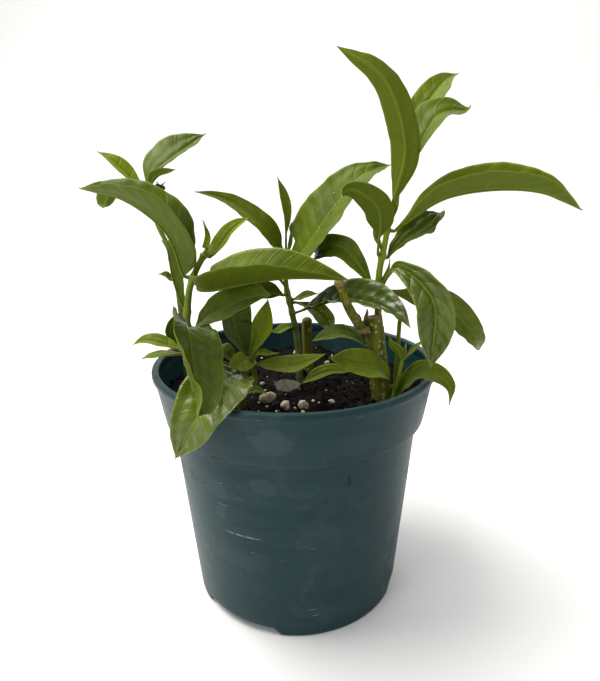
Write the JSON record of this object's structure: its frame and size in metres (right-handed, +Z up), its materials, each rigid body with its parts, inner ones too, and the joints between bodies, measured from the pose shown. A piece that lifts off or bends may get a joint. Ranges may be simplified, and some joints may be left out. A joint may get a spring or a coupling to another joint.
{
  "type": "potted night-blooming jasmine",
  "caption": "Young night-blooming jasmine with lance-shaped leaves on several stems, rooted in dark soil in a round nursery pot with a wide rim band.",
  "frame": {"origin": "centre of the pot's underside, on the surface that the pot stands on", "axes": "+Z up along the pot's axis, -Y to the front, +X to the right seen from the front"},
  "size_m": [0.2366, 0.165, 0.2825],
  "materials": {
    "pot": "satin moulded plastic, dusty",
    "soil": "matte, damp peat",
    "perlite": "matte, porous",
    "litter": "matte, dry",
    "cane": "matte bark with pale lenticels",
    "shoot": "satin green stem",
    "stump": "matte, weathered",
    "leaf": "satin leaf",
    "withered": "matte, dry",
    "dew": "clear water"
  },
  "bodies": {
    "root": {"nursery_pot": "pot", "stem_left": "shoot", "stem_left_back": "shoot", "stem_front": "shoot", "stem_centre": "shoot", "stump_centre": "stump", "cane_main": "cane", "shoot_tall": "shoot", "stem_bare": "shoot", "shoot_small": "shoot", "potting_soil": "soil", "perlite_1": "perlite", "perlite_2": "perlite", "perlite_3": "perlite", "litter_flake": "litter", "withered_bud": "withered", "leaf_left_arching": "leaf", "leaf_left_back_outer": "leaf", "leaf_left_back_top": "leaf", "leaf_left_back_sliver": "leaf", "leaf_left_back_drooping": "leaf", "leaf_left_behind": "leaf", "leaf_left_back_curl": "leaf", "leaf_left_tip_bud": "leaf", "leaf_left_top": "leaf", "leaf_left_long": "leaf", "leaf_left_dark": "leaf", "leaf_front_hanging": "leaf", "leaf_front_lowest": "leaf", "leaf_left_over_rim": "leaf", "leaf_left_browned": "leaf", "leaf_left_rounded": "leaf", "leaf_front_rounded": "leaf", "leaf_front_small": "leaf", "leaf_front_dark": "leaf", "leaf_front_upright": "leaf", "leaf_front_curved": "leaf", "leaf_front_level": "leaf", "leaf_front_foot": "leaf", "leaf_centre_low": "leaf", "leaf_centre_glossy": "leaf", "leaf_centre_under": "leaf", "leaf_right_inner": "leaf", "leaf_right_level": "leaf", "leaf_right_twisted": "leaf", "leaf_centre_sliver": "leaf", "leaf_right_drooping": "leaf", "leaf_centre_strip": "leaf", "leaf_right_over_rim": "leaf", "leaf_centre_large": "leaf", "leaf_right_curled": "leaf", "leaf_centre_upright": "leaf", "leaf_centre_arching": "leaf", "leaf_right_long": "leaf", "leaf_right_crumpled": "leaf", "leaf_right_hanging": "leaf", "leaf_right_back": "leaf", "leaf_tall_top": "leaf", "leaf_tall_back": "leaf", "leaf_tall_right": "leaf"}
  },
  "joints": []
}
